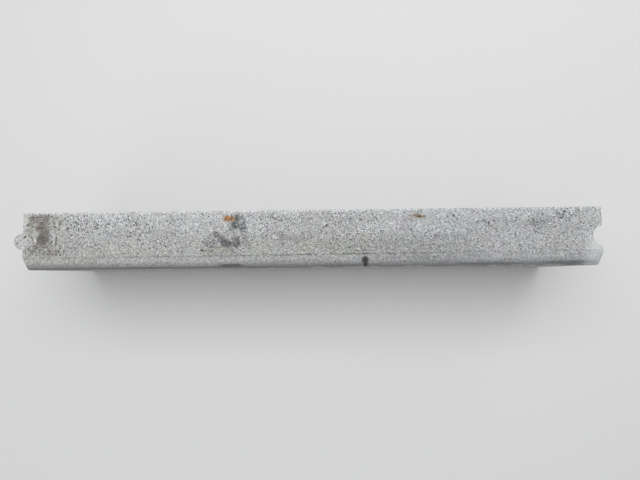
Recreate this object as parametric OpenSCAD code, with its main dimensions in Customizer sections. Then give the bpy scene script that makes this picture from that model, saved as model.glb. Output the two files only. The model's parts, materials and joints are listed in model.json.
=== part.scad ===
// Precast concrete kerb stone with a bevelled front edge and a tongue and groove joint on its ends.
// X runs along the stone from the tongue to the groove, the bevel faces -Y, and Z = 0 is the bed.

/* [Body] */
// Length from end face to end face, without the tongue
kerb_length = 1000; // [250:10:1200]
// Width of the bed, front to back
kerb_width = 100; // [80:1:160]
// Height from the bed to the top face
kerb_height = 250; // [150:5:400]

/* [Front bevel] */
// How far the bevel reaches back over the top
bevel_width = 23; // [12:1:30]
// How far the bevel falls from the top face to the front face
bevel_drop = 20; // [10:1:45]

/* [Arrises] */
// Rounding of the top back arris
back_arris_radius = 2; // [1:0.5:5]
// Rounding of the arris between the top face and the bevel
crest_radius = 4; // [1:0.5:10]
// Rounding of the arris between the bevel and the front face
brow_radius = 6; // [1:0.5:10]
// Rounding of the two arrises along the bed
bed_arris_radius = 3; // [1:0.5:8]
// Rounding of the upright corners of the end faces
end_arris_radius = 2.5; // [1:0.5:6]

/* [Tongue] */
// Radius of the tongue's round nose
tongue_radius = 14; // [8:0.5:18]
// How far the nose stands out of the end face
tongue_reach = 15; // [9:0.5:20]
// Fillet between the tongue and the end face
tongue_root_radius = 4; // [1:0.5:8]

/* [Groove] */
// Gap between the tongue and the groove at the sides
joint_side_gap = 2.5; // [1:0.5:5]
// Gap between the tongue's nose and the bottom of the groove
joint_nose_gap = 0.5; // [0:0.25:2]
// Rounding of the two lips of the groove
groove_lip_radius = 4; // [1:0.5:8]

/* [Hidden] */
arc_facets = 96;
concrete_grey = [0.66, 0.66, 0.64];

half_length = kerb_length / 2;
half_width = kerb_width / 2;
cut_overrun = kerb_width;

// A round crosses the faces it blends by this much, so that they meet on a clean line.
blend_bite = 0.02;
// How far the waste outside a round reaches, as a share of the way from its centre to the corner.
waste_reach_share = 2;

// The groove is the tongue grown by the side gap, and the nose gap is left at its bottom.
groove_radius = tongue_radius + joint_side_gap;
groove_depth = tongue_reach + joint_nose_gap;
tongue_centre_out = tongue_reach - tongue_radius;
groove_centre_out = groove_radius - groove_depth;

// How far from the middle a small round sits, where it blends a larger round into the end face.
function blend_offset(round_radius, round_out, blend_radius, blend_out) =
    sqrt(pow(round_radius + blend_radius, 2) - pow(blend_out - round_out, 2));

root_offset = blend_offset(tongue_radius, tongue_centre_out, tongue_root_radius, tongue_root_radius);
lip_offset = blend_offset(groove_radius, groove_centre_out, groove_lip_radius, -groove_lip_radius);

// Corners of the cross-section as [[y, z], rounding], from the bed at the front up and over.
section_corners = [
    [[-half_width, 0], bed_arris_radius],
    [[-half_width, kerb_height - bevel_drop], brow_radius],
    [[-half_width + bevel_width, kerb_height], crest_radius],
    [[half_width, kerb_height], back_arris_radius],
    [[half_width, 0], bed_arris_radius]
];

// Corners of the plan as [[x, y], rounding], without the joint.
plan_corners = [
    [[-half_length, -half_width], end_arris_radius],
    [[-half_length, half_width], end_arris_radius],
    [[half_length, half_width], end_arris_radius],
    [[half_length, -half_width], end_arris_radius]
];

function unit(v) = v / norm(v);
function corner_point(corners, i) = corners[(i + len(corners)) % len(corners)][0];
function towards(corners, i, step) = unit(corner_point(corners, i + step) - corner_point(corners, i));
function half_angle(corners, i) = acos(towards(corners, i, -1) * towards(corners, i, 1)) / 2;

// Where the round of a corner touches the side that leads to the previous or the next corner.
function touch_point(corners, i, step) =
    corner_point(corners, i) + towards(corners, i, step) * corners[i][1] / tan(half_angle(corners, i));

function round_centre(corners, i) =
    corner_point(corners, i)
    + unit(towards(corners, i, -1) + towards(corners, i, 1)) * corners[i][1] / sin(half_angle(corners, i));

function stretched(centre, point) = centre + (point - centre) * waste_reach_share;

// What rounding a corner takes away from it.
module corner_waste(corners, i) {
    centre = round_centre(corners, i);
    difference() {
        polygon([
            centre,
            stretched(centre, touch_point(corners, i, -1)),
            stretched(centre, corner_point(corners, i)),
            stretched(centre, touch_point(corners, i, 1))
        ]);
        translate(centre) circle(r = corners[i][1] + blend_bite, $fn = arc_facets);
    }
}

// A straight-sided outline with each of its corners rounded.
module rounded_outline(corners) {
    difference() {
        polygon([for (corner = corners) corner[0]]);
        for (i = [0 : len(corners) - 1]) corner_waste(corners, i);
    }
}

// The round nose of the tongue, with a fillet on each side where it leaves the -X end face.
module tongue_plan() {
    translate([-half_length - tongue_centre_out, 0]) circle(r = tongue_radius, $fn = arc_facets);
    difference() {
        polygon([
            [-half_length + tongue_radius, root_offset],
            [-half_length - tongue_root_radius, root_offset],
            [-half_length - tongue_centre_out, 0],
            [-half_length - tongue_root_radius, -root_offset],
            [-half_length + tongue_radius, -root_offset]
        ]);
        for (side = [-1, 1]) {
            translate([-half_length - tongue_root_radius, side * root_offset])
                circle(r = tongue_root_radius + blend_bite, $fn = arc_facets);
        }
    }
}

// What the groove takes out of the +X end: the round channel, and its mouth between two rounded lips.
module groove_plan() {
    translate([half_length + groove_centre_out, 0]) circle(r = groove_radius, $fn = arc_facets);
    difference() {
        polygon([
            [half_length + groove_radius, lip_offset],
            [half_length - groove_lip_radius, lip_offset],
            [half_length + groove_centre_out, 0],
            [half_length - groove_lip_radius, -lip_offset],
            [half_length + groove_radius, -lip_offset]
        ]);
        for (side = [-1, 1]) {
            translate([half_length - groove_lip_radius, side * lip_offset])
                circle(r = groove_lip_radius + blend_bite, $fn = arc_facets);
        }
    }
}

// A block with the plan's corners rounded, and the tongue standing on its -X end.
module tongued_block() {
    linear_extrude(height = kerb_height) rounded_outline(plan_corners);
    linear_extrude(height = kerb_height) tongue_plan();
}

// The cross-section swept along the whole stone, past both ends.
module section_bar() {
    translate([-half_length - cut_overrun, 0, 0])
        rotate([90, 0, 90])
            linear_extrude(height = kerb_length + 2 * cut_overrun)
                rounded_outline(section_corners);
}

// The groove's channel, from under the bed to over the top face.
module groove_channel() {
    translate([0, 0, -cut_overrun])
        linear_extrude(height = kerb_height + 2 * cut_overrun)
            groove_plan();
}

// The stone is one casting: the section gives its bevel and arrises, and the plan its ends and joint.
module kerb_stone() {
    color(concrete_grey)
        difference() {
            intersection() {
                tongued_block();
                section_bar();
            }
            groove_channel();
        }
}

kerb_stone();
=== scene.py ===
"""Dresses the concrete kerb stone: a weathered casting in place of its plain solid, in a plain studio."""
import json
import math
import random

import bmesh
import bpy
from bpy.props import FloatProperty, FloatVectorProperty, IntProperty, PointerProperty
from mathutils import Euler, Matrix, Vector, kdtree, noise


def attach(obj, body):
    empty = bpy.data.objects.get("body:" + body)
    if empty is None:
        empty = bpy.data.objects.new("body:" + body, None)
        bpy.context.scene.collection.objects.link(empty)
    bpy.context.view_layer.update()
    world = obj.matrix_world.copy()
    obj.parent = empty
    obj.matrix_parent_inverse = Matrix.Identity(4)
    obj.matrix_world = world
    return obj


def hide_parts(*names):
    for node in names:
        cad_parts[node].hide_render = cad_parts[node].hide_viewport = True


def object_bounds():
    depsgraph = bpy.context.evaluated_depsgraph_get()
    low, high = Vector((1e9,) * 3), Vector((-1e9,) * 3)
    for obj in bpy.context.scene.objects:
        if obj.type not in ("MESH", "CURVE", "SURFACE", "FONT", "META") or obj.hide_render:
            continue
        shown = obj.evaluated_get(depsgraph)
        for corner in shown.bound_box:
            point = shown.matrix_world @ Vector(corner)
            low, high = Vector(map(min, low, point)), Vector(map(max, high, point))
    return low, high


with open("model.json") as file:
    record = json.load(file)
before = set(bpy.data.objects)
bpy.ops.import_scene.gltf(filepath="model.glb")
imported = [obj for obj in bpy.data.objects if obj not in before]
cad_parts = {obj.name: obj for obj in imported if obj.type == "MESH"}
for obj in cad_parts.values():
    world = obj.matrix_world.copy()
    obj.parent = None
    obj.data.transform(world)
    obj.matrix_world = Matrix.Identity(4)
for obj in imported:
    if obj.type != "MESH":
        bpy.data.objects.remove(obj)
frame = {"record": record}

bl_info = {
    "name": "Concrete Kerb Stone",
    "version": (1, 0, 0),
    "blender": (4, 5, 0),
    "location": "View3D > Sidebar > Kerb Stone",
    "description": "Models a weathered concrete kerb stone and lights it in a plain studio",
    "category": "Object",
}

NODE = "kerb_stone"
BODY = "root"
MM = 0.001

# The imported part: its box, and the places and radii that its mounts state.
CAD_LOW, CAD_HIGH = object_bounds()
MOUNTS = {mount["name"]: mount for mount in frame["record"]["mounts"]}
TONGUE_FACE_X = MOUNTS["tongue_end_face"]["pos_m"][0]
GROOVE_FACE_X = MOUNTS["groove_end_face"]["pos_m"][0]
TONGUE_RADIUS = MOUNTS["tongue"]["dims"]["r_mm"] * MM
TONGUE_REACH = TONGUE_FACE_X - CAD_LOW.x
GROOVE_RADIUS = MOUNTS["groove"]["dims"]["r_mm"] * MM
GROOVE_CENTRE_OUT = MOUNTS["groove"]["pos_m"][0] - GROOVE_FACE_X
HALF_WIDTH = CAD_HIGH.y
HEIGHT = CAD_HIGH.z

# The camera, fitted to the corners of the stone in the photograph.
PHOTO_WIDTH = 640
PHOTO_HEIGHT = 480
SENSOR_WIDTH_MM = 36.0
LENS_MM = 26.69
CAMERA_PLACE = Vector((0.0353, -0.0628, HEIGHT + 0.8134))
CAMERA_TURN = Euler((math.radians(4.20), math.radians(1.20), math.radians(-0.53)), "XYZ")
FOCAL_PIXELS = LENS_MM / SENSOR_WIDTH_MM * PHOTO_WIDTH
PIXEL = (CAMERA_PLACE.z - HEIGHT) / FOCAL_PIXELS

# Marks on the top face: pixel of the photograph, half length and half height in pixels, turn in degrees, strength.
SOIL_MARKS = (
    ((40.5, 219.0), 11.5, 7.2, 0, 0.65),
    ((41.0, 227.0), 5.5, 6.5, 0, 0.88),
    ((35.0, 217.5), 4.5, 4.0, 0, 0.55),
    ((32.0, 220.5), 5.0, 6.5, 0, 0.42),
    ((46.2, 230.0), 3.4, 8.0, 10, 0.45),
    ((31.5, 228.5), 4.5, 6.0, 0, 0.3),
    ((43.0, 252.5), 14.0, 5.0, 0, 0.42),
    ((29.5, 246.5), 5.0, 5.0, 0, 0.25),
    ((418.5, 216.0), 7.0, 2.2, 3, 0.3),
    ((222.0, 251.5), 15.0, 5.0, 0, 0.36),
    ((237.0, 218.0), 5.5, 5.0, 0, 0.25),
    ((30.0, 219.4), 1.8, 2.2, 0, 0.62),
    ((51.0, 240.0), 5.0, 8.0, 0, 0.22),
    ((57.0, 224.0), 5.0, 7.0, 0, 0.1),
)
CORE_MARKS = (
    ((42.5, 239.8), 6.5, 6.8, 0, 1.0),
    ((41.5, 246.0), 6.5, 3.6, 0, 0.5),
    ((45.4, 232.8), 3.8, 4.2, 0, 0.8),
    ((31.5, 249.5), 4.0, 4.5, 0, 0.4),
    ((53.0, 252.5), 5.0, 3.0, 20, 0.35),
    ((45.4, 219.6), 3.6, 4.6, 0, 0.5),
    ((47.5, 247.0), 4.0, 4.0, 30, 0.35),
)
SCUFF_MARKS = (
    ((237.0, 219.0), 4.6, 6.6, 20, 0.71),
    ((242.0, 219.5), 4.6, 5.0, 0, 0.56),
    ((235.0, 224.8), 4.8, 4.6, -35, 0.85),
    ((231.2, 228.8), 3.6, 2.9, 0, 0.68),
    ((242.8, 226.0), 4.2, 7.2, 10, 0.66),
    ((217.0, 235.0), 4.6, 3.4, 40, 0.74),
    ((222.0, 239.8), 5.6, 4.0, 40, 0.76),
    ((226.8, 243.6), 6.0, 4.6, 25, 0.8),
    ((235.9, 242.4), 5.2, 5.6, -20, 0.78),
    ((231.2, 248.0), 7.0, 4.6, 0, 0.3),
    ((209.5, 244.5), 8.0, 5.6, 0, 0.52),
    ((213.5, 238.5), 6.6, 5.0, 0, 0.4),
    ((244.5, 242.5), 5.0, 5.0, 0, 0.4),
    ((281.0, 236.0), 4.8, 4.2, 40, 0.36),
    ((77.5, 244.5), 8.0, 4.5, 0, 0.22),
    ((537.5, 223.0), 12.0, 5.4, 0, 0.42),
    ((537.0, 216.5), 7.0, 4.0, 0, 0.26),
)
RUST_MARKS = (
    ((228.0, 218.4), 4.2, 2.7, 4, 1.0),
    ((232.0, 218.8), 2.6, 2.4, 0, 0.72),
    ((228.5, 218.6), 6.5, 3.6, 0, 0.22),
    ((418.5, 216.0), 6.6, 1.9, 3, 0.4),
    ((30.2, 219.0), 1.7, 2.2, 0, 0.18),
)
BROWN_MARKS = (
    ((419.3, 216.3), 2.6, 1.0, 3, 1.0),
    ((232.4, 217.6), 0.9, 1.5, 0, 0.75),
    ((225.0, 219.4), 1.0, 1.0, 0, 0.55),
    ((229.0, 221.0), 2.0, 0.6, 0, 0.45),
    ((230.6, 219.0), 0.8, 1.4, 0, 0.5),
    ((424.0, 216.2), 1.1, 1.0, 0, 0.55),
    ((413.6, 215.3), 1.7, 0.9, 0, 0.5),
)
OLIVE_MARKS = (
    ((44.0, 230.0), 26.0, 20.0, 0, 0.36),
    ((110.0, 252.0), 13.0, 4.5, 0, 0.6),
    ((95.0, 250.0), 9.0, 4.5, 0, 0.5),
    ((418.5, 215.0), 8.5, 4.5, 0, 0.45),
    ((391.5, 216.5), 3.4, 2.4, 0, 0.6),
    ((365.3, 240.8), 7.0, 5.0, 0, 0.5),
    ((333.7, 244.5), 12.0, 6.5, 0, 0.6),
    ((306.0, 243.9), 10.0, 7.0, 0, 0.5),
    ((262.0, 248.0), 13.0, 5.0, 0, 0.45),
    ((552.0, 246.0), 15.0, 4.5, 0, 0.35),
)
LIME_MARKS = (
    ((440.0, 228.0), 24.0, 7.0, 0, 0.42),
    ((318.0, 222.5), 9.0, 3.5, 0, 0.4),
    ((130.0, 216.0), 75.0, 2.4, 0, 0.7),
    ((160.0, 226.0), 45.0, 3.6, 0, 0.35),
    ((290.0, 227.5), 28.0, 4.0, 0, 0.35),
    ((223.0, 222.0), 13.0, 6.0, 0, 0.4),
    ((255.0, 227.0), 13.0, 10.0, 0, 0.8),
    ((194.0, 227.0), 17.0, 7.5, 0, 0.75),
    ((375.0, 228.0), 20.0, 4.0, 0, 0.25),
    ((597.0, 214.0), 8.0, 9.0, 0, 0.4),
    ((590.0, 232.0), 7.0, 9.0, 0, 0.42),
    ((88.0, 232.0), 28.0, 9.0, 0, 0.22),
    ((506.0, 246.0), 26.0, 5.5, 0, 0.3),
    ((560.0, 257.0), 34.0, 4.0, 0, 0.25),
)
CHALK_MARKS = (
    ((25.6, 218.2), 3.4, 4.6, 0, 0.72),
    ((26.0, 226.8), 2.6, 5.4, 0, 0.48),
    ((21.9, 242.3), 8.2, 7.6, 0, 0.44),
    ((53.8, 237.5), 1.5, 5.6, 0, 0.6),
    ((35.0, 240.6), 1.1, 1.9, 0, 0.85),
    ((44.9, 250.0), 1.0, 1.0, 0, 0.8),
    ((24.0, 231.2), 2.4, 3.6, 0, 0.4),
    ((20.8, 259.6), 2.6, 3.4, 0, 0.6),
    ((22.6, 263.4), 2.4, 2.6, 0, 0.5),
    ((606.0, 258.5), 7.0, 6.0, 0, 0.9),
    ((31.6, 249.0), 1.1, 1.0, 0, 0.8),
    ((597.5, 249.0), 10.5, 12.5, 0, 1.0),
    ((592.0, 235.0), 6.0, 8.5, 0, 0.36),
    ((600.0, 215.0), 2.4, 9.0, 0, 0.26),
    ((490.9, 222.2), 1.3, 1.3, 0, 1.0),
    ((437.0, 234.0), 1.2, 0.9, 0, 0.8),
    ((492.0, 238.5), 1.3, 1.2, 0, 0.6),
)
CREAM_MARKS = (
    ((25.6, 218.2), 3.6, 4.6, 0, 0.68),
    ((33.0, 262.0), 16.0, 7.0, 0, 0.3),
    ((70.0, 262.0), 30.0, 6.0, 0, 0.25),
    ((57.0, 224.0), 6.0, 8.0, 0, 0.2),
    ((588.0, 241.0), 8.0, 6.0, 0, 0.2),
    ((592.0, 217.0), 12.0, 10.0, 0, 0.2),
    ((391.5, 216.5), 3.2, 2.2, 0, 0.35),
    ((310.0, 247.0), 16.0, 4.0, 0, 0.2),
)
DULL_MARKS = (
    ((395.0, 245.0), 85.0, 9.0, 0, 1.2),
    ((436.0, 238.0), 38.0, 8.0, 0, 0.85),
    ((292.0, 238.0), 42.0, 8.0, 0, 0.6),
    ((560.0, 234.0), 30.0, 6.0, 0, 0.25),
    ((360.0, 218.5), 38.0, 5.0, 0, 0.9),
    ((565.0, 213.0), 26.0, 6.0, 0, 0.25),
    ((508.0, 221.0), 22.0, 5.0, 0, 0.3),
    ((385.0, 259.5), 110.0, 4.0, 0, 0.5),
    ((430.0, 257.0), 44.0, 3.6, 0, 1.45),
    ((440.0, 227.0), 22.0, 6.0, 0, 0.4),
)
PITTED_MARKS = (
    ((42.0, 222.0), 10.0, 10.0, 0, 0.9),
    ((84.0, 226.0), 28.0, 12.0, 0, 1.0),
    ((28.0, 234.0), 7.0, 16.0, 0, 0.8),
    ((32.0, 251.0), 10.0, 5.0, 0, 0.9),
    ((128.0, 226.0), 34.0, 9.0, 0, 0.8),
    ((160.0, 235.0), 40.0, 12.0, 0, 0.35),
    ((285.0, 218.5), 24.0, 3.6, 0, 1.0),
    ((225.0, 246.0), 25.0, 7.0, 0, 0.6),
    ((55.0, 250.0), 22.0, 5.0, 0, 0.7),
    ((566.0, 215.0), 16.0, 7.0, 0, 0.7),
    ((540.0, 222.0), 18.0, 8.0, 0, 0.7),
    ((580.0, 224.0), 14.0, 6.0, 0, 0.6),
    ((500.0, 247.0), 60.0, 5.0, 0, 0.35),
    ((350.0, 230.0), 30.0, 10.0, 0, 0.4),
)
DARK_PORE_MARKS = (
    ((95.2, 227.2), 1.1, 0.8, 0, 0.9),
    ((97.2, 228.4), 1.2, 0.9, 0, 0.95),
    ((96.9, 226.2), 0.9, 0.7, 0, 0.7),
    ((202.0, 250.4), 2.1, 1.1, 0, 1.0),
    ((435.8, 235.2), 1.7, 0.8, 0, 1.0),
    ((453.4, 215.3), 1.3, 1.2, 0, 1.0),
    ((457.5, 218.5), 0.7, 1.1, 0, 0.8),
    ((484.8, 221.2), 2.8, 0.7, 45, 0.75),
    ((494.4, 221.0), 0.9, 0.8, 0, 0.8),
    ((489.1, 222.5), 1.3, 1.0, 0, 1.0),
    ((490.2, 225.9), 1.8, 0.7, 30, 0.6),
    ((558.6, 213.6), 4.4, 0.7, 55, 0.66),
    ((563.8, 213.4), 4.4, 0.75, -70, 0.72),
    ((557.0, 215.4), 2.6, 0.6, 55, 0.4),
    ((560.6, 217.6), 1.5, 0.9, 0, 0.85),
    ((572.5, 214.3), 3.4, 0.7, -35, 0.5),
    ((579.0, 210.0), 0.8, 1.6, 0, 0.8),
    ((24.9, 236.6), 1.8, 0.8, -35, 1.0),
    ((28.3, 224.8), 1.8, 0.8, -35, 1.0),
    ((26.6, 225.4), 0.8, 0.8, 0, 0.8),
    ((17.1, 243.6), 0.9, 0.8, 0, 0.8),
    ((56.0, 241.0), 0.75, 5.2, 0, 0.72),
    ((54.2, 223.4), 1.2, 0.9, 30, 0.7),
    ((57.4, 217.6), 1.3, 0.9, 0, 0.7),
    ((51.8, 216.4), 0.9, 1.0, 0, 0.9),
    ((67.4, 228.2), 1.3, 0.9, 0, 0.9),
    ((62.0, 220.6), 0.9, 0.9, 0, 0.8),
    ((47.6, 254.6), 1.2, 0.9, 30, 0.8),
    ((60.0, 255.0), 1.0, 1.2, 40, 0.8),
    ((51.4, 241.8), 1.0, 1.0, 0, 1.0),
    ((54.8, 226.8), 1.4, 1.0, 20, 0.85),
    ((326.8, 225.2), 1.7, 0.8, -35, 0.8),
    ((260.3, 229.6), 0.9, 0.9, 0, 0.9),
    ((198.0, 231.5), 0.9, 1.4, 0, 0.8),
    ((411.0, 229.5), 1.6, 0.9, -35, 0.7),
)

# Marks on the bevel, in the same form.
BEVEL_MARKS = (
    ((365.0, 259.8), 3.5, 3.6, 0, 1.0),
    ((365.6, 264.0), 2.5, 3.0, 0, 1.0),
    ((231.0, 265.4), 13.0, 1.5, 0, 0.7),
    ((568.0, 261.8), 24.0, 1.6, 0, 0.42),
    ((490.0, 263.2), 34.0, 1.0, 0, 0.35),
    ((150.0, 268.8), 125.0, 2.0, 0, 0.34),
    ((340.0, 265.0), 30.0, 0.8, 0, 0.3),
)

# Chips that the photograph shows on the ends: pixel, radius and depth in metres.
END_CHIPS = (
    ((602.6, 206.6), 5 * MM, 0.9 * MM),
    ((603.2, 212.0), 3 * MM, 0.9 * MM),
    ((603.2, 216.4), 3 * MM, 0.9 * MM),
    ((603.6, 223.4), 7 * MM, 1.1 * MM),
    ((604.2, 244.6), 5 * MM, 0.8 * MM),
    ((604.0, 255.0), 5 * MM, 0.7 * MM),
    ((22.6, 214.2), 6 * MM, 1.0 * MM),
    ((21.8, 233.4), 5 * MM, 1.0 * MM),
    ((21.0, 252.6), 7 * MM, 1.2 * MM),
    ((24.6, 264.0), 6 * MM, 1.5 * MM),
)


def length(name, description, default):
    return FloatProperty(name=name, description=description, default=default, min=0, unit="LENGTH")


def colour(name, description, default):
    return FloatVectorProperty(
        name=name, description=description, default=default, min=0, max=1, size=3, subtype="COLOR"
    )


class KerbSizes(bpy.types.PropertyGroup):
    """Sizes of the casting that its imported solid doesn't state, and of the wear on it."""

    bevel_width: length("Bevel width", "How far the bevel reaches back over the top", 23 * MM)
    bevel_drop: length("Bevel drop", "How far the bevel falls to the front face", 20 * MM)
    back_arris: length("Back arris", "Rounding of the top back arris", 2 * MM)
    crest: length("Crest", "Rounding between the top face and the bevel", 4 * MM)
    brow: length("Brow", "Rounding between the bevel and the front face", 6 * MM)
    bed_arris: length("Bed arris", "Rounding of the arrises along the bed", 3 * MM)
    end_arris: length("End arris", "Rounding of the upright corners", 2.5 * MM)
    tongue_root: length("Tongue root", "Fillet on each side of the tongue", 4 * MM)
    groove_lip: length("Groove lip", "Rounding of the groove's two lips", 4 * MM)
    rim: length("Rim", "Wear along the upper and lower rim of the end faces", 0.9 * MM)
    cell: length("Cell", "Spacing of the mesh along the stone", 3 * MM)
    relief: length("Relief", "Depth of the open texture of the top face", 0.36 * MM)
    seed: IntProperty(name="Seed", description="Which chips and pits the wear draws", default=11)


class ConcreteColours(bpy.types.PropertyGroup):
    """Colours of the concrete, and of what weather and handling left on it."""

    paste: colour("Paste", "Cement grey of the open top face", (0.44, 0.44, 0.435))
    # Lighter than the paste partly for the closer finish, partly as painted light that makes up for the bevel facing
    # away from the overhead light.
    bevel: colour("Bevel", "Cooler grey of the close bevel", (0.51, 0.507, 0.505))
    wall: colour("Wall", "Grey of the moulded sides", (0.41, 0.408, 0.397))
    lime: colour("Lime", "Lime bloom along the back edge", (0.55, 0.566, 0.571))
    chalk: colour("Chalk", "Fresh, pale concrete of chips and of the tongue", (0.64, 0.65, 0.652))
    cool: colour("Cool", "Bluish cast of the half towards the groove", (0.962, 0.973, 1.0))
    cream: colour("Cream", "Yellowish tinge of the old lime", (0.54, 0.532, 0.44))
    olive: colour("Olive", "Sandy tint near the crest", (0.40, 0.395, 0.345))
    soil: colour("Soil", "Tan of the soil stain", (0.22, 0.202, 0.17))
    core: colour("Core", "Grey-brown heart of the stain", (0.17, 0.158, 0.144))
    scuff: colour("Scuff", "Blue-grey of the scuffs", (0.1, 0.104, 0.108))
    rust: colour("Rust", "Orange of the rust fleck", (0.42, 0.2, 0.075))
    brown: colour("Brown", "Dark brown of the old rust", (0.10, 0.075, 0.052))
    # Grey laid in the crest line as dirt, and on the lower bevel as dirt and painted shade.
    grime_and_shade: colour("Grime", "Grey dirt on the brow", (0.16, 0.165, 0.165))
    pore: colour("Pore", "Shade inside pores and cracks", (0.055, 0.055, 0.055))


class StudioSettings(bpy.types.PropertyGroup):
    """The floor and the lights."""

    floor: colour("Floor", "Pale floor", (0.78, 0.78, 0.77))
    floor_size: length("Floor size", "Side of the square floor", 12.0)
    key: FloatProperty(name="Key", description="Power of the soft overhead light", default=34, unit="POWER")
    fill: FloatProperty(name="Fill", description="Power of each side light", default=6, unit="POWER")
    sky: FloatProperty(name="Sky", description="Strength of the even light from all round", default=0.45)


class Socket:
    """A shader socket that Python can calculate with: each operator adds the Math node for it."""

    def __init__(self, finish, socket):
        self.finish = finish
        self.socket = socket

    def calculate(self, operation, first, second):
        return self.finish.node("ShaderNodeMath", {"operation": operation}, {0: first, 1: second})

    def __add__(self, other):
        return self.calculate("ADD", self, other)

    def __sub__(self, other):
        return self.calculate("SUBTRACT", self, other)

    def __rsub__(self, other):
        return self.calculate("SUBTRACT", other, self)

    def __mul__(self, other):
        return self.calculate("MULTIPLY", self, other)

    def __or__(self, other):
        return self.calculate("MAXIMUM", self, other)

    __radd__ = __add__
    __rmul__ = __mul__


class Finish:
    """A material in the making, with one method that adds any node."""

    def __init__(self, name):
        self.material = bpy.data.materials.new(name)
        self.material.use_nodes = True
        self.tree = self.material.node_tree
        self.shader = self.tree.nodes["Principled BSDF"]
        self.place = self.node("ShaderNodeTexCoord", output="Object")

    def node(self, kind, settings=None, inputs=None, output=0):
        """Adds a node, applies its settings, sets or links its inputs, and returns one of its outputs."""
        node = self.tree.nodes.new(kind)
        for key, value in (settings or {}).items():
            setattr(node, key, value)
        for key, value in (inputs or {}).items():
            self.feed(node.inputs[key], value)
        return Socket(self, node.outputs[output])

    def feed(self, slot, value):
        if isinstance(value, Socket):
            self.tree.links.new(value.socket, slot)
        else:
            slot.default_value = value

    def lay(self, factor, under, over, how="MIX"):
        """Lays one colour over another."""
        settings = {"data_type": "RGBA", "blend_type": how}
        return self.node("ShaderNodeMix", settings, {0: factor, 6: opaque(under), 7: opaque(over)}, 2)

    def step(self, value, low, high, strength=1.0):
        """A smooth step from 0, where the value is at low, to the strength, where it is at high."""
        inputs = {"Value": value, "From Min": low, "From Max": high, "To Max": strength}
        return self.node("ShaderNodeMapRange", {"interpolation_type": "SMOOTHSTEP"}, inputs)

    def clouds(self, size, place=None, detail=2.0, output="Fac"):
        """Soft noise whose patches are about as large as size."""
        inputs = {"Vector": place or self.place, "Scale": 1 / size, "Detail": detail, "Roughness": 0.6}
        return self.node("ShaderNodeTexNoise", None, inputs, output)

    def grains(self, size, place=None, output="Distance"):
        """A field of packed grains, each about as large as size."""
        return self.node("ShaderNodeTexVoronoi", None, {"Vector": place or self.place, "Scale": 1 / size}, output)

    def mapped(self, place=None, shift=(0, 0, 0), turn=0.0, scale=(1, 1, 1)):
        """Coordinates scaled, turned about the upright axis and moved."""
        inputs = {"Vector": place or self.place, "Location": shift, "Rotation": (0, 0, turn), "Scale": scale}
        return self.node("ShaderNodeMapping", None, inputs)

    def vector(self, operation, *operands, output=0):
        return self.node("ShaderNodeVectorMath", {"operation": operation}, dict(enumerate(operands)), output)

    def channel(self, tint, name="Red"):
        return self.node("ShaderNodeSeparateColor", None, {"Color": tint}, name)

    def axis(self, name):
        return self.node("ShaderNodeSeparateXYZ", None, {"Vector": self.place}, name)

    def painted(self, name):
        """A value that the modelling left on the mesh."""
        return self.node("ShaderNodeAttribute", {"attribute_name": name}, None, "Fac")


def opaque(tint):
    """A plain colour with its alpha; a socket passes as it is."""
    return tint if isinstance(tint, Socket) else (*tint, 1.0)


def seen_at(pixel, height=HEIGHT):
    """Where the camera sees that pixel of the photograph on a level plane."""
    across = (pixel[0] - PHOTO_WIDTH / 2) / FOCAL_PIXELS
    up = (PHOTO_HEIGHT / 2 - pixel[1]) / FOCAL_PIXELS
    ray = Vector((across, up, -1.0))
    ray.rotate(CAMERA_TURN)
    return CAMERA_PLACE + ray * ((height - CAMERA_PLACE.z) / ray.z)


def blots(finish, marks, place, height=HEIGHT, soft=0.45):
    """One mask for a list of marks: each is an ellipse on coordinates that noise has made ragged."""
    mask = None
    turned = {}
    for pixel, half_length, half_height, turn, strength in marks:
        if turn not in turned:
            turned[turn] = finish.mapped(place, turn=math.radians(turn)) if turn else place
        centre = seen_at(pixel, height)
        centre.rotate(Euler((0, 0, math.radians(turn))))
        scale = Vector((1 / (half_length * PIXEL), 1 / (half_height * PIXEL), 0))
        spot = finish.vector("MULTIPLY_ADD", turned[turn], scale, -centre * scale)
        blot = finish.step(finish.vector("LENGTH", spot, output="Value"), 1 + soft, 1 - soft, strength)
        mask = blot if mask is None else mask | blot
    return mask


def ragged(finish, size, amount):
    """Object coordinates pushed about by noise, for the outlines of stains."""
    push = finish.vector("SUBTRACT", finish.clouds(size, detail=3.0, output="Color"), (0.5, 0.5, 0.5))
    return finish.vector("MULTIPLY_ADD", push, (amount, amount, 0), finish.place)


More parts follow.
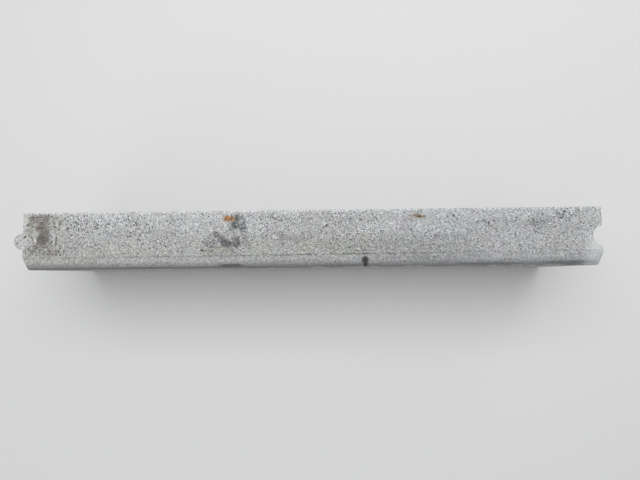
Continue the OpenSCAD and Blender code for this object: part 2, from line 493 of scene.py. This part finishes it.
def concrete(colours, sizes):
    """Dry-cast concrete: an open, speckled top, a close bevel and moulded sides, with the marks of the photograph."""
    finish = Finish("weathered_concrete")
    step, lay, clouds, grains = finish.step, finish.lay, finish.clouds, finish.grains
    upper, arris, chip, pit = (finish.painted(name) for name in ("upper", "arris", "chip", "pit"))
    x, y, z = (finish.axis(name) for name in "XYZ")
    wall = 1 - upper

    # Sand, stones and pores.
    fine = clouds(1.25 * MM, detail=0.5) - 0.5
    coarse = clouds(6 * MM) - 0.5
    patches = clouds(24 * MM, detail=3.0) - 0.5
    drifts = clouds(95 * MM, detail=3.0) - 0.5
    grit = clouds(2.6 * MM, finish.mapped(shift=(0.6, 0.2, 0.1))) - 0.5
    sand_tone = finish.channel(grains(1.35 * MM, output="Color")) - 0.5
    ragged_wide = ragged(finish, 9 * MM, 11 * MM)
    ragged_fine = ragged(finish, 4 * MM, 3 * MM)
    pitted = blots(finish, PITTED_MARKS, ragged_wide, soft=0.8)
    chalk = blots(finish, CHALK_MARKS, ragged_fine, soft=0.5)
    close = step(chalk, 0.15, 0.7)
    pore_place = finish.mapped(shift=(0.3, 0.7, 0.2))
    pore_pick = finish.channel(grains(2.7 * MM, pore_place, "Color"), "Blue")
    pore_spot = step(grains(2.7 * MM, pore_place), 0.54, 0.46)
    pore = pore_spot * step(pore_pick + pitted * 0.19 + patches * 0.5, 0.9, 0.93) * (1 - close)
    glint_place = finish.mapped(shift=(0.9, 0.1, 0.4))
    glint_pick = finish.channel(grains(2.9 * MM, glint_place, "Color"), "Green")
    glint = step(grains(2.9 * MM, glint_place), 0.5, 0.42) * step(glint_pick, 0.76, 0.84)

    # The top is open, and its texture closes over the crest towards the bevel.
    crest_y = -HALF_WIDTH + sizes.bevel_width
    rough_y = y + patches * 0.012 + coarse * 0.006
    bevel = step(rough_y, crest_y + 2 * MM, crest_y - 4 * MM) * upper
    top = upper - bevel
    contrast = (0.45 + top * 0.55 + bevel * 0.47) * (1 - close * 0.6)
    streak_place = finish.mapped(scale=(1, 1, 0.045))
    streaks = (clouds(3.2 * MM, streak_place) - 0.5) * wall
    speckle = fine * 1.6 + sand_tone * 0.85 + grit * 0.5 + glint * 0.47
    tone = 1 + speckle * contrast + patches * 0.22 + drifts * 0.25 + streaks * 0.35
    tone = tone - blots(finish, DULL_MARKS, ragged_wide, soft=0.9) * 0.17

    # Lime along the back edge, a sandy tint towards the crest, then the stains.
    tint = lay(upper, colours.wall, colours.paste)
    # The bevel's lighter grey is partly painted light, offsetting its turn away from the overhead light.
    tint = lay(bevel, tint, colours.bevel)
    lime_edge = step(y + patches * 0.03 + drifts * 0.03, 0.014, HALF_WIDTH) * top
    # Pale lime wear along the back arris, which also serves as a painted highlight of that edge.
    lime_arris_and_highlight = step(y + coarse * 0.004, HALF_WIDTH - 4.5 * MM, HALF_WIDTH - 1.6 * MM) * top
    tint = lay(lime_edge * 0.6, tint, colours.lime)
    sandy = step(y + patches * 0.05, 0.012, -0.024) * step(drifts + patches, -0.16, 0.10) * top
    tint = lay(sandy * 0.3, tint, colours.olive)
    tint = lay(blots(finish, OLIVE_MARKS, ragged_wide, soft=0.7) * top * 0.8, tint, colours.olive)
    tint = lay(blots(finish, LIME_MARKS, ragged_wide, soft=0.7) * upper, tint, colours.lime)
    soiled = blots(finish, SOIL_MARKS, ragged_wide, soft=0.6) * (upper + grit * 2.6 + fine * 2.4 + coarse * 0.9)
    tint = lay(soiled, tint, colours.soil)
    tint = lay(blots(finish, CORE_MARKS, ragged_wide, soft=0.4) * upper, tint, colours.core)
    scuffs = blots(finish, SCUFF_MARKS, ragged_wide, soft=0.6)
    rubbed = scuffs * step(grit * 2.2 + scuffs * 0.5, -0.02, 0.36, 1.2)
    tint = lay(rubbed * upper, tint, colours.scuff)
    # Chalk marks, and the back arris laid in chalk: lime wear, brightened towards the left as a painted highlight.
    tint = lay((chalk | lime_arris_and_highlight * (0.35 + step(x, 0.3, -0.25, 0.65))) * upper, tint, colours.chalk)
    tint = lay(blots(finish, CREAM_MARKS, ragged_wide, soft=0.7) * upper, tint, colours.cream)
    tint = lay(blots(finish, RUST_MARKS, ragged_fine, soft=0.4) * (upper + grit), tint, colours.rust)
    tint = lay(blots(finish, BROWN_MARKS, ragged_fine, soft=0.35) * upper, tint, colours.brown)

    # The cast: bluish towards the groove, and a little uneven everywhere.
    tint = lay(step(x, 0.0, 0.26) * upper, tint, colours.cool, "MULTIPLY")
    cast = clouds(15 * MM, finish.mapped(shift=(0.4, 0.9, 0.1)), 3.0, "Color")
    tint = lay(0.078, tint, cast, "OVERLAY")

    # Sides: pale lime runs, faint lifts of the filling and a darker foot.
    runs_place = finish.mapped(scale=(1, 1, 0.16))
    runs = step(clouds(22 * MM, runs_place, 3.0) - 0.5 + drifts * 0.5, 0.06, 0.22) * wall
    tint = lay(runs * 0.35, tint, colours.lime)
    foot = step(z + patches * 0.06 + drifts * 0.05, 0.045, 0.0) * wall
    tint = lay(foot * 0.45, tint, colours.soil)
    tint = lay(1.0, tint, tone, "MULTIPLY")

    # Chips are pale; dirt lies in the crest line; the brow gets dirt and painted shade, with a painted highlight along
    # its edge; pores, pits and blow holes get painted shade.
    fresh = (chip * 0.35 + arris * 0.2) * step(fine + coarse, -0.18, 0.1)
    tint = lay(fresh, tint, colours.chalk)
    line_y = y + coarse * 0.004 + fine * 0.003
    crest_off = line_y - x * 0.005
    crest_near = step(crest_off, crest_y - 2.4 * MM, crest_y) * step(crest_off, crest_y + 2.4 * MM, crest_y)
    crest_line = crest_near * step(coarse + patches + fine, -0.1, 0.1) * upper
    crest_line = crest_line * (0.5 + step(x, -0.3, 0.1, 0.5) - step(x, 0.2, 0.36, 0.55))
    # The lower bevel darkens towards the brow: partly dirt, partly painted shade as from a stone laid in front,
    # stronger to the right and gone near the groove end.
    brow_dirt_and_shade = step(y + fine * 0.003 + coarse * 0.0012, -HALF_WIDTH + 16.5 * MM, -HALF_WIDTH + 1.5 * MM) * bevel
    brow_dirt_and_shade = brow_dirt_and_shade * (0.74 + step(x, -0.25, 0.0, 0.12) - step(x, 0.455, 0.488, 0.64))
    tint = lay(brow_dirt_and_shade | crest_line, tint, colours.grime_and_shade)
    # A painted highlight: a pale line along the brow edge, on the right half of the stone.
    brow_highlight = step(line_y, -HALF_WIDTH + 2.6 * MM, -HALF_WIDTH + 1 * MM) * step(patches + drifts, -0.08, 0.1)
    tint = lay(brow_highlight * bevel * step(x, -0.05, 0.05, 0.45), tint, colours.chalk)
    bevel_marks = blots(finish, BEVEL_MARKS, ragged_fine, height=HEIGHT - 14 * MM) * bevel
    dark_marks = blots(finish, DARK_PORE_MARKS, ragged_fine, soft=0.4) * upper
    # Painted shade in pores and pits, with the listed dark marks laid in the same colour.
    dark = pore * (0.3 + top * 0.6) | dark_marks * 0.9 | bevel_marks * 0.98 | pit * 0.15
    tint = lay(dark, tint, colours.pore)

    # Painted shade in the blow holes of the sides.
    hole_place = finish.mapped(shift=(0.2, 0.5, 0.8))
    hole = step(grains(15 * MM, hole_place) + fine * 0.03, 0.13, 0.09) * wall
    tint = lay(hole * 0.6, tint, colours.pore)
    height = (fine * 1.1 + glint * 0.4) * (0.5 + top * 0.5) + coarse * (0.3 + top * 0.6)
    height = height + streaks * 0.5 - pore * 0.9 - hole * 0.7
    bump = finish.node("ShaderNodeBump", None, {"Strength": 0.75, "Distance": 1 * MM, "Height": height}, "Normal")

    finish.feed(finish.shader.inputs["Base Color"], tint)
    finish.feed(finish.shader.inputs["Roughness"], 0.93 - fine * 0.2 - lime_edge * 0.05)
    finish.feed(finish.shader.inputs["Normal"], bump)
    finish.shader.inputs["Specular IOR Level"].default_value = 0.35
    return finish.material


def arc_offset(radius, rise):
    """How far a round has fallen away, the given distance along from where it begins."""
    return radius - math.sqrt(max(radius**2 - rise**2, 0.0))


def beside(large, large_out, small, small_out):
    """How far from the middle the centre of a small round lies that blends a larger one into a flat."""
    return math.sqrt((large + small) ** 2 - (small_out - large_out) ** 2)


def tongue_out(y, sizes):
    """How far the tongued end stands out of its end face at that distance from the middle."""
    away = abs(y)
    centre_out = TONGUE_REACH - TONGUE_RADIUS
    root = beside(TONGUE_RADIUS, centre_out, sizes.tongue_root, sizes.tongue_root)
    if away <= root * TONGUE_RADIUS / (TONGUE_RADIUS + sizes.tongue_root):
        return centre_out + math.sqrt(TONGUE_RADIUS**2 - away**2)
    if away < root:
        return arc_offset(sizes.tongue_root, root - away)
    return -corner_wear(away, sizes)


def groove_out(y, sizes):
    """The same for the grooved end, where the channel counts as less than nothing."""
    away = abs(y)
    lip = beside(GROOVE_RADIUS, GROOVE_CENTRE_OUT, sizes.groove_lip, -sizes.groove_lip)
    if away <= lip * GROOVE_RADIUS / (GROOVE_RADIUS + sizes.groove_lip):
        return GROOVE_CENTRE_OUT - math.sqrt(GROOVE_RADIUS**2 - away**2)
    if away < lip:
        return -arc_offset(sizes.groove_lip, lip - away)
    return -corner_wear(away, sizes)


def corner_wear(away, sizes):
    return arc_offset(sizes.end_arris, max(away - HALF_WIDTH + sizes.end_arris, 0.0))


def rim_wear(z, sizes):
    """How far the end faces fall back near the top face and the bed."""
    near = max(z - HEIGHT + sizes.rim, sizes.rim - z, 0.0)
    return arc_offset(sizes.rim, near)


def spaced(low, high, step):
    """Even places from low to high, about a step apart."""
    count = max(round((high - low) / step), 1)
    return [low + (high - low) * i / count for i in range(count + 1)]


def thinned(places, gap):
    """The places in order, without those that lie nearer than the gap to the last one kept."""
    kept = []
    for place in sorted(places):
        if not kept or place - kept[-1] >= gap:
            kept.append(place)
    return kept


def section_face(bm, sizes):
    """The cross-section at the tongued end, with its five corners rounded."""
    outline = (
        ((-HALF_WIDTH, 0.0), sizes.bed_arris),
        ((-HALF_WIDTH, HEIGHT - sizes.bevel_drop), sizes.brow),
        ((-HALF_WIDTH + sizes.bevel_width, HEIGHT), sizes.crest),
        ((HALF_WIDTH, HEIGHT), sizes.back_arris),
        ((HALF_WIDTH, 0.0), sizes.bed_arris),
    )
    corners = [bm.verts.new((TONGUE_FACE_X, *corner)) for corner, _ in outline]
    bm.faces.new(corners)
    places = [corner.co.copy() for corner in corners]
    for i, (corner, (_, radius)) in enumerate(zip(corners, outline)):
        before = places[i - 1] - places[i]
        after = places[(i + 1) % len(places)] - places[i]
        bmesh.ops.bevel(
            bm,
            geom=[corner],
            offset=radius / math.tan(before.angle(after) / 2),
            offset_type="OFFSET",
            affect="VERTICES",
            segments=4,
            profile=0.5,
            material=-1,
        )


def cut_lines(bm, axis, places):
    """Cuts the whole mesh across one axis at each place."""
    normal = Vector((0, 0, 0))
    normal[axis] = 1
    for place in places:
        geometry = bm.verts[:] + bm.edges[:] + bm.faces[:]
        bmesh.ops.bisect_plane(bm, geom=geometry, plane_co=normal * place, plane_no=normal, dist=1e-6)


def across_places(sizes):
    """Where the mesh is cut along the stone: close together where the tongue, the groove and the arrises turn."""
    half = [TONGUE_RADIUS * math.sin(math.radians(turn)) for turn in range(0, 80, 9)]
    half += [GROOVE_RADIUS * math.sin(math.radians(turn)) for turn in (57, 65, 72)]
    root = beside(TONGUE_RADIUS, TONGUE_REACH - TONGUE_RADIUS, sizes.tongue_root, sizes.tongue_root)
    lip = beside(GROOVE_RADIUS, GROOVE_CENTRE_OUT, sizes.groove_lip, -sizes.groove_lip)
    half += [root - share * sizes.tongue_root for share in (0, 0.4, 0.7, 0.9)]
    half += [lip - share * sizes.groove_lip for share in (0, 0.4, 0.7, 0.9)]
    half += spaced(lip + sizes.cell, HALF_WIDTH - sizes.end_arris, sizes.cell)
    half += [HALF_WIDTH - share * sizes.end_arris for share in (0.6, 0.3, 0.1)]
    return thinned(half + [-place for place in half], 0.35 * MM)


def height_places(sizes):
    """Where the mesh is cut on the level: close together near the bed and the top."""
    margin = 9 * MM
    fine = sizes.cell * 0.6
    places = spaced(0.0, margin, fine) + spaced(margin, HEIGHT - sizes.bevel_drop, sizes.cell * 2.1)
    places += spaced(HEIGHT - sizes.bevel_drop, HEIGHT, fine) + [sizes.rim * 0.5, HEIGHT - sizes.rim * 0.5]
    return thinned(places, 0.4 * MM)


def casting(bm, sizes):
    """The stone as it left its mould, as a closed grid of small faces."""
    section_face(bm, sizes)
    swept = bmesh.ops.extrude_face_region(bm, geom=bm.faces[:])["geom"]
    far_end = [item for item in swept if isinstance(item, bmesh.types.BMVert)]
    bmesh.ops.translate(bm, verts=far_end, vec=(GROOVE_FACE_X - TONGUE_FACE_X, 0, 0))
    cut_lines(bm, 1, across_places(sizes))
    cut_lines(bm, 2, height_places(sizes))
    for vert in bm.verts:
        wear = rim_wear(vert.co.z, sizes)
        if vert.co.x < 0:
            vert.co.x = TONGUE_FACE_X - tongue_out(vert.co.y, sizes) + wear
        else:
            vert.co.x = GROOVE_FACE_X + groove_out(vert.co.y, sizes) - wear
    long_edges = [edge for edge in bm.edges if edge.calc_length() > GROOVE_FACE_X]
    cuts = round((GROOVE_FACE_X - TONGUE_FACE_X) / sizes.cell)
    bmesh.ops.subdivide_edges(bm, edges=long_edges, cuts=cuts, use_grid_fill=True)
    bmesh.ops.remove_doubles(bm, verts=bm.verts[:], dist=0.02 * MM)
    bmesh.ops.recalc_face_normals(bm, faces=bm.faces[:])


def arris_points(sizes):
    """The long arrises in the cross-section, with the way out of the stone at each."""
    slope = Vector((0, -sizes.bevel_drop, sizes.bevel_width)).normalized()
    return {
        "crest": (Vector((0, -HALF_WIDTH + sizes.bevel_width, HEIGHT)), (slope + Vector((0, 0, 1))).normalized()),
        "brow": (Vector((0, -HALF_WIDTH, HEIGHT - sizes.bevel_drop)), (slope + Vector((0, -1, 0))).normalized()),
        "back": (Vector((0, HALF_WIDTH, HEIGHT)), Vector((0, 1, 1)).normalized()),
        "front foot": (Vector((0, -HALF_WIDTH, 0)), Vector((0, -1, -1)).normalized()),
        "back foot": (Vector((0, HALF_WIDTH, 0)), Vector((0, 1, -1)).normalized()),
    }


def drawn_chips(sizes, draw):
    """Chips along every arris: place, way out, radius and depth."""
    chips = []
    kinds = {"crest": (46, 0.6), "brow": (34, 1.0), "back": (52, 0.9), "front foot": (26, 1.3), "back foot": (26, 1.3)}
    for name, (point, out) in arris_points(sizes).items():
        count, depth = kinds[name]
        for _ in range(count):
            place = point + Vector((draw.uniform(TONGUE_FACE_X, GROOVE_FACE_X), 0, 0))
            radius = draw.uniform(2.5, 6.5) * MM * draw.uniform(0.6, 1.4)
            chips.append((place, out, radius, depth * draw.uniform(0.12, 0.3) * radius))
    for end, face in ((-1, TONGUE_FACE_X), (1, GROOVE_FACE_X)):
        for side in (-1, 1):
            for _ in range(11):
                place = Vector((face, side * HALF_WIDTH, draw.uniform(0, HEIGHT - sizes.bevel_drop)))
                radius = draw.uniform(3, 7.5) * MM
                chips.append((place, Vector((end, side, 0)).normalized(), radius, draw.uniform(0.15, 0.3) * radius))
        for _ in range(12):
            place = Vector((face, draw.uniform(-HALF_WIDTH + sizes.bevel_width, HALF_WIDTH), HEIGHT))
            radius = draw.uniform(2.5, 5.5) * MM
            sink = draw.uniform(0.15, 0.3) * radius
            if abs(place.y) > GROOVE_RADIUS:
                chips.append((place, Vector((end, 0, 1)).normalized(), radius, sink))
    lip = beside(GROOVE_RADIUS, GROOVE_CENTRE_OUT, sizes.groove_lip, -sizes.groove_lip)
    for side in (-1, 1):
        for _ in range(9):
            place = Vector((GROOVE_FACE_X, side * (lip - sizes.groove_lip / 2), draw.uniform(0, HEIGHT)))
            radius = draw.uniform(3, 7) * MM
            out = Vector((1, -side * 0.6, 0)).normalized()
            chips.append((place, out, radius, draw.uniform(0.12, 0.25) * radius))
    for pixel, radius, depth in END_CHIPS:
        place = seen_at(pixel)
        out = Vector((math.copysign(1, place.x), 0.35 * math.copysign(1, place.y), 1)).normalized()
        chips.append((place, out, radius, depth))
    return chips


def from_end(place):
    """How far inside the outline of the nearer end a place lies, seen from above: round the tongue or the groove."""
    if place.x < 0:
        centre_x = TONGUE_FACE_X - TONGUE_REACH + TONGUE_RADIUS
        inside_tongue = TONGUE_RADIUS - math.hypot(place.x - centre_x, place.y)
        return max(place.x - TONGUE_FACE_X, inside_tongue, 0.0)
    centre_x = GROOVE_FACE_X + GROOVE_CENTRE_OUT
    outside_groove = math.hypot(place.x - centre_x, place.y) - GROOVE_RADIUS
    return max(min(GROOVE_FACE_X - place.x, outside_groove), 0.0)


def closeness(place, points):
    """1 on an arris of the cross-section or on the rim of an end, falling to 0 a few millimetres away."""
    reach = 4.5 * MM
    flat = Vector((0, place.y, place.z))
    nearest = min((flat - point).length for point, _ in points)
    end = from_end(place)
    corner = math.hypot(end, HALF_WIDTH - abs(place.y))
    rim = math.hypot(end, min(HEIGHT - place.z, place.z))
    return max(1 - min(nearest, corner, rim) / reach, 0.0)


def hollow(place, openness):
    """How deep the open texture is at that place, from 0 to 1."""
    coarse = noise.noise(place / (7 * MM))
    fine = noise.noise(place / (4.2 * MM) + Vector((7, 3, 1)))
    return min(max(0.32 + 0.42 * coarse + 0.4 * fine, 0.0), 1.0) * openness


def weather(bm, sizes):
    """Wears the casting: uneven faces, an open top, crumbled arrises, chips and blow holes. All of it goes inwards."""
    layers = {name: bm.verts.layers.float.new(name) for name in ("upper", "arris", "chip", "pit")}
    draw = random.Random(sizes.seed)
    bm.normal_update()
    crest_y = -HALF_WIDTH + sizes.bevel_width
    points = list(arris_points(sizes).values())
    depth = [0.0] * len(bm.verts)
    tree = kdtree.KDTree(len(bm.verts))
    for index, vert in enumerate(bm.verts):
        vert.index = index
        tree.insert(vert.co, index)
        place, out = vert.co, vert.normal
        on_top = out.z > 0.93 or (place.z > HEIGHT - 1.6 * MM and place.y > crest_y + 4 * MM)
        on_bevel = 0.2 < out.z <= 0.93 and place.y < crest_y + 1 * MM and place.z > HEIGHT - sizes.bevel_drop - 3 * MM
        vert[layers["upper"]] = float(on_top or on_bevel)
        near = closeness(place, points)
        vert[layers["arris"]] = near
        wave = 0.2 * MM * (0.5 + 0.5 * noise.noise(place * 14))
        openness = 1.0 if on_top else 0.18 if on_bevel else 0.45
        crumble = max(noise.noise(place / (11 * MM) + Vector((0, 9, 4))) + 0.1, 0.0) * 0.9 * MM
        depth[index] = wave + sizes.relief * hollow(place, openness) + crumble * near
    tree.balance()
    bm.verts.ensure_lookup_table()

    pits = []
    for _ in range(520):
        pits.append((Vector((draw.uniform(CAD_LOW.x, CAD_HIGH.x), draw.uniform(crest_y, HALF_WIDTH), HEIGHT)), 1.0))
    for _ in range(150):
        pits.append((Vector((draw.uniform(CAD_LOW.x, CAD_HIGH.x), crest_y + draw.gauss(0, 0.6) * MM, HEIGHT)), 0.9))
    for side in (-1, 1):
        for _ in range(150):
            wall_place = (draw.uniform(CAD_LOW.x, CAD_HIGH.x), side * HALF_WIDTH, draw.uniform(0, HEIGHT - 25 * MM))
            pits.append((Vector(wall_place), 1.0))
    for place, scale in pits:
        radius = draw.uniform(2.2, 4.2) * MM * scale
        sink = draw.uniform(0.25, 0.8) * MM * scale
        for _, index, distance in tree.find_range(place, radius):
            fall = (1 - (distance / radius) ** 2) * sink
            depth[index] = max(depth[index], depth[index] * 0.5 + fall)
            vert = bm.verts[index]
            vert[layers["pit"]] = max(vert[layers["pit"]], fall / (1.1 * MM))

    for vert in bm.verts:
        vert.co -= vert.normal * depth[vert.index]
    for place, out, radius, sink in drawn_chips(sizes, draw):
        for _, index, distance in tree.find_range(place, radius):
            vert = bm.verts[index]
            fall = 1 - (distance / radius) ** 2
            rough = 0.25 * MM * noise.noise(vert.co / (2.5 * MM))
            over = (vert.co - place).dot(out) + sink * (0.4 + fall) + rough * fall
            if over > 0:
                vert.co -= out * over
                vert[layers["chip"]] = max(vert[layers["chip"]], min(over / sink, 1.0))


class OBJECT_OT_kerb_stone(bpy.types.Operator):
    """Model the weathered kerb stone and give it its concrete"""

    bl_idname = "object.kerb_stone"
    bl_label = "Kerb Stone"

    def execute(self, context):
        settings = context.scene
        bm = bmesh.new()
        casting(bm, settings.kerb_sizes)
        weather(bm, settings.kerb_sizes)
        bmesh.ops.triangulate(bm, faces=bm.faces[:])
        for face in bm.faces:
            face.smooth = True
        mesh = bpy.data.meshes.new("weathered_kerb_stone")
        bm.to_mesh(mesh)
        bm.free()
        piece = bpy.data.objects.new("weathered_kerb_stone", mesh)
        context.scene.collection.objects.link(piece)
        mesh.materials.append(concrete(settings.concrete_colours, settings.kerb_sizes))
        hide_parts(NODE)
        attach(piece, BODY)
        return {"FINISHED"}


class SCENE_OT_kerb_studio(bpy.types.Operator):
    """Set up the floor, the lights and the camera at the photograph's viewing angle"""

    bl_idname = "scene.kerb_studio"
    bl_label = "Studio"

    def execute(self, context):
        studio = context.scene.studio_settings
        lay_floor(context, studio)
        target = Vector((0, 0, HEIGHT / 2))
        hang_light(context, "key_light", (0.02, 0.75, 2.3), target, (2.6, 1.7), studio.key)
        hang_light(context, "front_fill", (-1.5, -2.1, 1.2), target, (1.6, 1.2), studio.fill)
        hang_light(context, "back_fill", (1.8, 1.9, 1.1), target, (1.6, 1.2), studio.fill)
        light_sky(context, studio)
        aim_camera(context)
        return {"FINISHED"}


def lay_floor(context, studio):
    bm = bmesh.new()
    bmesh.ops.create_grid(bm, x_segments=1, y_segments=1, size=studio.floor_size / 2)
    mesh = bpy.data.meshes.new("studio_floor")
    bm.to_mesh(mesh)
    bm.free()
    floor = bpy.data.objects.new("studio_floor", mesh)
    context.scene.collection.objects.link(floor)
    finish = Finish("studio_floor")
    finish.feed(finish.shader.inputs["Base Color"], opaque(studio.floor))
    finish.feed(finish.shader.inputs["Roughness"], 0.9)
    mesh.materials.append(finish.material)


def hang_light(context, name, place, target, size, power):
    light = bpy.data.lights.new(name, "AREA")
    light.shape = "RECTANGLE"
    light.size, light.size_y = size
    light.energy = power
    lamp = bpy.data.objects.new(name, light)
    lamp.location = place
    lamp.rotation_euler = (target - Vector(place)).to_track_quat("-Z", "Y").to_euler()
    context.scene.collection.objects.link(lamp)


def light_sky(context, studio):
    world = bpy.data.worlds.new("studio_sky")
    world.use_nodes = True
    background = world.node_tree.nodes["Background"]
    background.inputs["Color"].default_value = (0.96, 0.98, 1.0, 1.0)
    background.inputs["Strength"].default_value = studio.sky
    context.scene.world = world
    context.scene.view_settings.view_transform = "Standard"


def aim_camera(context):
    camera = bpy.data.cameras.new("photo_camera")
    camera.sensor_width = SENSOR_WIDTH_MM
    camera.lens = LENS_MM
    camera.clip_start = 0.01
    eye = bpy.data.objects.new("photo_camera", camera)
    eye.location = CAMERA_PLACE
    eye.rotation_euler = CAMERA_TURN
    context.scene.collection.objects.link(eye)
    context.scene.camera = eye


class VIEW3D_PT_kerb_stone(bpy.types.Panel):
    """The kerb stone's pieces, sizes and colours"""

    bl_label = "Kerb Stone"
    bl_space_type = "VIEW_3D"
    bl_region_type = "UI"
    bl_category = "Kerb Stone"

    def draw(self, context):
        layout = self.layout
        layout.operator(OBJECT_OT_kerb_stone.bl_idname)
        layout.operator(SCENE_OT_kerb_studio.bl_idname)
        for group in (context.scene.kerb_sizes, context.scene.concrete_colours, context.scene.studio_settings):
            box = layout.box()
            for name in group.__annotations__:
                box.prop(group, name)


GROUPS = {
    "kerb_sizes": KerbSizes,
    "concrete_colours": ConcreteColours,
    "studio_settings": StudioSettings,
}
CLASSES = (*GROUPS.values(), OBJECT_OT_kerb_stone, SCENE_OT_kerb_studio, VIEW3D_PT_kerb_stone)


def register():
    for item in CLASSES:
        bpy.utils.register_class(item)
    for name, group in GROUPS.items():
        setattr(bpy.types.Scene, name, PointerProperty(type=group))


def unregister():
    for name in GROUPS:
        delattr(bpy.types.Scene, name)
    for item in reversed(CLASSES):
        bpy.utils.unregister_class(item)


def main():
    register()
    bpy.ops.object.kerb_stone()
    bpy.ops.scene.kerb_studio()


if __name__ == "__main__":
    main()
